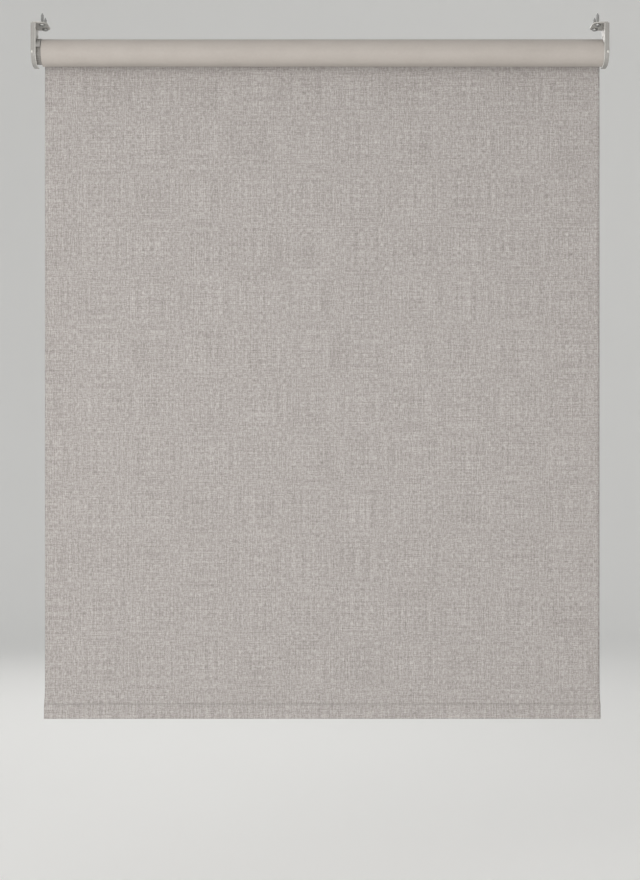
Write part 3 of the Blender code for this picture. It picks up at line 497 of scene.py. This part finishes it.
# ---------------------------------------------------------------- the hanging fabric
def eased(share):
    """A share from 0 to 1 that starts and ends level."""
    return share * share * (3.0 - 2.0 * share)


def sheet_depth(x, height):
    """How far the hanging sheet stands behind its plane: faint waves away from the roll and the hem,
    and a lean to the room above the hem. Height is measured down from the roller's axis."""
    middle = (SHEET_LOW.x + SHEET_HIGH.x) / 2
    half = (SHEET_HIGH.x - SHEET_LOW.x) / 2
    across = (x - middle) / half
    wave = sum(depth * math.sin(rate * across + start + rate_down * height)
               for depth, rate, start, rate_down in RIPPLES)
    level = 1.0 - abs(across) ** EDGE_FLATNESS
    free = min(1.0, height / FREE_HEIGHT, (SHEET_HIGH.z - SHEET_LOW.z - height) / FREE_HEIGHT)
    lean = max(0.0, 1.0 - (SHEET_HIGH.z - HEM_HIGH.z - height) / LEAN_HEIGHT)
    return eased(max(0.0, free)) * RIPPLE * (RIPPLE_MEAN + wave) * level - HEM_LEAN * eased(lean)


def hanging_fabric(face, reverse, edge):
    """The sheet from the back of the roll to the hem. Its room side carries the weave."""
    top = AXIS_Z
    bottom = HEM_HIGH.z
    front = AXIS_Y + ROLL_R + ROLL_CLEARANCE
    middle = (SHEET_LOW.x + SHEET_HIGH.x) / 2
    half = (SHEET_HIGH.x - SHEET_LOW.x) / 2
    vertices, faces = [], []
    for row in range(SHEET_ROWS + 1):
        z = top + (bottom - top) * row / SHEET_ROWS
        wide = half + edge_shape(z - bottom)
        for column in range(SHEET_COLUMNS + 1):
            x = middle + wide * (2 * column / SHEET_COLUMNS - 1)
            vertices.append((x, front + sheet_depth(x, top - z), z))
    line = SHEET_COLUMNS + 1
    for row in range(SHEET_ROWS):
        for column in range(SHEET_COLUMNS):
            a = row * line + column
            faces.append((a, a + line, a + line + 1, a + 1))
    piece = new_piece("hanging_fabric", vertices, faces, face, reverse, edge)
    thicken(piece, CLOTH_THICKNESS)
    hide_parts("fabric_sheet")
    length = top - bottom
    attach(piece, "brackets")
    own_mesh(piece)
    return piece, (SHEET_HIGH.x - SHEET_LOW.x, length)


# ---------------------------------------------------------------- the hem
def hem_outline():
    """Outside of the hem's section as (y, z): down the front, round under the bar, and up the back."""
    sheet_front = AXIS_Y + ROLL_R + ROLL_CLEARANCE - HEM_LEAN
    bar_y = (BAR_LOW.y + BAR_HIGH.y) / 2
    bar_r = (BAR_HIGH.y - BAR_LOW.y) / 2
    bend = bar_r + HEM_GAP + CLOTH_THICKNESS
    lower = (HEM_HIGH.y - HEM_LOW.y) / 2
    weld_end = HEM_HIGH.z - WELD_DROP / 2
    upper_z = BAR_HIGH.z - bar_r
    lower_z = HEM_LOW.z + lower
    outline = [(sheet_front, HEM_HIGH.z - HEM_JOINT), (sheet_front, weld_end)]
    for i in range(HEM_BEND_STEPS + 1):
        angle = HEM_BEND_START * (1 - i / HEM_BEND_STEPS)
        outline.append((bar_y - bend * math.cos(angle), upper_z + bend * math.sin(angle)))
    for i in range(2 * HEM_BEND_STEPS + 1):
        angle = math.pi * i / (2 * HEM_BEND_STEPS)
        reach = bend + (lower - bend) * math.sin(angle)
        outline.append((bar_y - reach * math.cos(angle), lower_z - lower * math.sin(angle)))
    for i in range(HEM_BEND_STEPS + 1):
        angle = HEM_BEND_START * i / HEM_BEND_STEPS
        outline.append((bar_y + bend * math.cos(angle), upper_z + bend * math.sin(angle)))
    back = sheet_front + 2 * CLOTH_THICKNESS
    return outline + [(back, weld_end), (back, HEM_HIGH.z - HEM_JOINT)]


def hem_fabric(face, reverse, edge):
    """Fabric folded round the bottom bar and welded. The bar keeps it straight."""
    outline = hem_outline()
    middle = (HEM_LOW.x + HEM_HIGH.x) / 2
    half = (HEM_HIGH.x - HEM_LOW.x) / 2
    count = len(outline)
    vertices, faces = [], []
    for column in range(HEM_COLUMNS + 1):
        across = 2 * column / HEM_COLUMNS - 1
        for y, z in outline:
            depth = (HEM_HIGH.z - z) / (HEM_HIGH.z - HEM_LOW.z)
            slack = HEM_SLACK * depth * math.sin(SLACK_ACROSS * across + SLACK_UP * z)
            vertices.append((middle + across * half, y + slack, z))
    for column in range(HEM_COLUMNS):
        for i in range(count - 1):
            a = column * count + i
            faces.append((a, a + 1, a + count + 1, a + count))
    piece = new_piece("hem_fabric", vertices, faces, face, reverse, edge)
    thicken(piece, CLOTH_THICKNESS * HEM_STRETCH)
    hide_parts("hem_pocket")
    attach(piece, "bottom_bar_unit")
    return piece


# ---------------------------------------------------------------- bracket trim
def tube_along(name, points, radius, finish):
    """A round bead along a line of points."""
    curve = bpy.data.curves.new(name, "CURVE")
    curve.dimensions = "3D"
    curve.bevel_depth = radius
    curve.bevel_resolution = 4
    curve.use_fill_caps = True
    spline = curve.splines.new("POLY")
    spline.points.add(len(points) - 1)
    for point, place in zip(spline.points, points):
        point.co = (*place, 1.0)
    spline.use_smooth = True
    curve.materials.append(finish)
    piece = bpy.data.objects.new(name, curve)
    bpy.context.scene.collection.objects.link(piece)
    return piece


def cover_trim(side, word, finish):
    """Rounded bead on the cover's inner lip, and the small catch on its front, in a lighter copy of the
    cover plastic that paints a highlight on them.
    """
    lip_x = side * COVER_LOW.x
    corner = ROLL_R + BEAD_CLEARANCE - BEAD_R
    front = COVER_LOW.y + BEAD_R
    bottom = COVER_LOW.z + BEAD_R
    points = [(lip_x, front, COVER_HIGH.z - BEAD_R)]
    for i in range(BEAD_STEPS + 1):
        angle = math.pi + math.pi / 2 * i / BEAD_STEPS
        y = front + corner + corner * math.cos(angle)
        z = bottom + corner + corner * math.sin(angle)
        points.append((lip_x, y, z))
    points.append((lip_x, front + corner + BEAD_TAIL, bottom))
    bead = tube_along(f"cover_bead_{word}", points, BEAD_R, finish)
    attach(bead, "brackets")
    catch = bmesh.new()
    bmesh.ops.create_uvsphere(catch, u_segments=24, v_segments=14, radius=1.0)
    bmesh.ops.scale(catch, vec=CATCH_SIZE, verts=catch.verts)
    place = (side * (COVER_HIGH.x - CATCH_INSET), COVER_LOW.y + CATCH_SINK, AXIS_Z - CATCH_DROP)
    bmesh.ops.translate(catch, vec=place, verts=catch.verts)
    mesh = bpy.data.meshes.new(f"cover_catch_{word}")
    catch.to_mesh(mesh)
    catch.free()
    mesh.shade_smooth()
    mesh.materials.append(finish)
    piece = bpy.data.objects.new(f"cover_catch_{word}", mesh)
    bpy.context.scene.collection.objects.link(piece)
    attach(piece, "brackets")


# ---------------------------------------------------------------- stage, light and camera
FLOOR_Z = CAD_BOX[0].z - 0.30
STAGE_R = 6.0
STAGE_WALL = 7.0            # height of the stage's wall
STAGE_CURVE = 2.5           # radius between its floor and its wall
CURVE_STEPS = 24
STAGE_SIDES = 96
SAME_PLACE = 1e-6           # points closer than this are joined
LIGHT_SPREAD = math.radians(130)
LIGHT_COLOR = (1.0, 0.985, 0.965)
WORLD_POWER = 0.65


def stage():
    """A round pale stage: a floor that curves up into a wall all round."""
    profile = [(0.0, FLOOR_Z), (STAGE_R - STAGE_CURVE, FLOOR_Z)]
    for i in range(1, CURVE_STEPS + 1):
        angle = math.pi / 2 * i / CURVE_STEPS
        profile.append((STAGE_R - STAGE_CURVE + STAGE_CURVE * math.sin(angle),
                        FLOOR_Z + STAGE_CURVE - STAGE_CURVE * math.cos(angle)))
    profile.append((STAGE_R, FLOOR_Z + STAGE_WALL))
    shape = bmesh.new()
    verts = [shape.verts.new((radius, 0, z)) for radius, z in profile]
    edges = [shape.edges.new(pair) for pair in zip(verts, verts[1:])]
    bmesh.ops.spin(shape, geom=verts + edges, cent=(0, 0, 0), axis=(0, 0, 1),
                   angle=math.tau, steps=STAGE_SIDES, use_merge=True)
    bmesh.ops.remove_doubles(shape, verts=shape.verts, dist=SAME_PLACE)
    mesh = bpy.data.meshes.new("stage")
    shape.to_mesh(mesh)
    shape.free()
    mesh.shade_smooth()
    graph = Graph("stage_paper")
    cloud = graph.noise((0.6, 0.6, 0.6), 2.0, 0.5, 1.0)
    color = graph.ramp(cloud, (0.3, (0.88, 0.88, 0.87)), (0.7, (0.90, 0.90, 0.89)))
    graph.set(color=color, roughness=0.95, specular=0.1)
    mesh.materials.append(graph.material)
    floor = bpy.data.objects.new("stage", mesh)
    bpy.context.scene.collection.objects.link(floor)


def softbox(name, place, target, size, power):
    """A rectangular light at a place, turned to the target."""
    light = bpy.data.lights.new(name, "AREA")
    light.shape = "RECTANGLE"
    light.size, light.size_y = size
    light.energy = power
    light.color = LIGHT_COLOR
    light.spread = LIGHT_SPREAD
    lamp = bpy.data.objects.new(name, light)
    bpy.context.scene.collection.objects.link(lamp)
    lamp.location = place
    lamp.rotation_euler = (Vector(target) - Vector(place)).to_track_quat("-Z", "Y").to_euler()


def lights():
    """A large light from the left front, a low one, one from the window side, and a white sky."""
    centre = (0, 0, (CAD_BOX[0].z + CAD_BOX[1].z) / 2)
    softbox("key", (-1.8, -2.3, -0.40), centre, (2.2, 2.2), 27)
    softbox("low", (0.3, -2.3, -1.02), centre, (2.6, 0.8), 16)
    softbox("back", (-0.8, 2.8, 0.9), centre, (2.0, 2.0), 16)
    world = bpy.data.worlds.new("studio")
    world.use_nodes = True
    sky = world.node_tree.nodes["Background"]
    sky.inputs[0].default_value = (1.0, 1.0, 1.0, 1.0)
    sky.inputs[1].default_value = WORLD_POWER
    bpy.context.scene.world = world


CAMERA_DISTANCE = 2.161     # from the roller's axis
CAMERA_DROP = 0.5298        # below the roller's axis
LENS = 65.05                # in millimetres, on the sensor below
SENSOR = 36.0
SHIFT_UP = 0.0034           # share of the picture's height
NEAREST = 0.05
FARTHEST = 60


def camera():
    """The photo's camera: level, straight at the blind's middle."""
    data = bpy.data.cameras.new("camera")
    data.sensor_width = SENSOR
    data.lens = LENS
    data.shift_y = SHIFT_UP
    data.clip_start = NEAREST
    data.clip_end = FARTHEST
    eye = bpy.data.objects.new("camera", data)
    bpy.context.scene.collection.objects.link(eye)
    eye.location = (0, AXIS_Y - CAMERA_DISTANCE, AXIS_Z - CAMERA_DROP)
    eye.rotation_euler = (math.pi / 2, 0, 0)
    bpy.context.scene.camera = eye
    bpy.context.scene.view_settings.view_transform = "Standard"


def main():
    """Build the whole scene."""
    camera()
    dress_cad_nodes()
    press_pin_spring()
    face, reverse, edge = linen_face(), linen_reverse(), cut_edge()
    hem_face = linen_face("linen_hem", welded=True)
    wound_fabric(reverse, face, edge)
    sheet, flat = hanging_fabric(face, reverse, edge)
    hem = hem_fabric(hem_face, reverse, edge)
    # the cover plastic made lighter: a painted highlight on the covers' beads and catches
    painted_highlight_plastic = moulded("cover_bead_painted_highlight", (0.58, 0.57, 0.54), (0.64, 0.63, 0.60), 0.30)
    for side, word in ((-1, "left"), (1, "right")):
        cover_trim(side, word, painted_highlight_plastic)
    stage()
    lights()


main()
